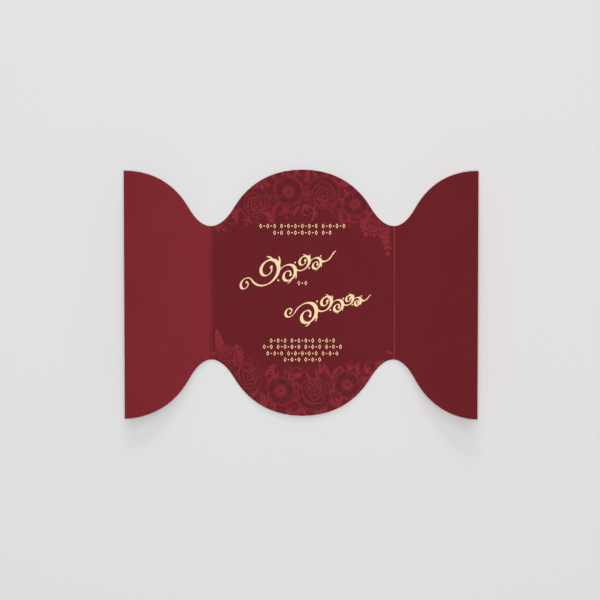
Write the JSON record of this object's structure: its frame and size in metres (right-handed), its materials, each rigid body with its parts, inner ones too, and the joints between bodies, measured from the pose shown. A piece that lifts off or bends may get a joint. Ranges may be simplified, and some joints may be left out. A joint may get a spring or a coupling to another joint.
{
  "type": "wedding card",
  "caption": "Gate-fold wedding card lying open: a creased sheet with a domed middle panel and a half-domed flap lifted at either side.",
  "frame": {"origin": "centre of the middle panel's underside, which lies on the table", "axes": "+X across the card from the left flap to the right flap, +Y up the card along the creases, +Z out of the printed face"},
  "size_m": [0.2527, 0.178, 0.0274],
  "materials": {
    "burgundy_card": "matte"
  },
  "bodies": {
    "root": {"card_sheet": "burgundy_card"}
  },
  "joints": []
}
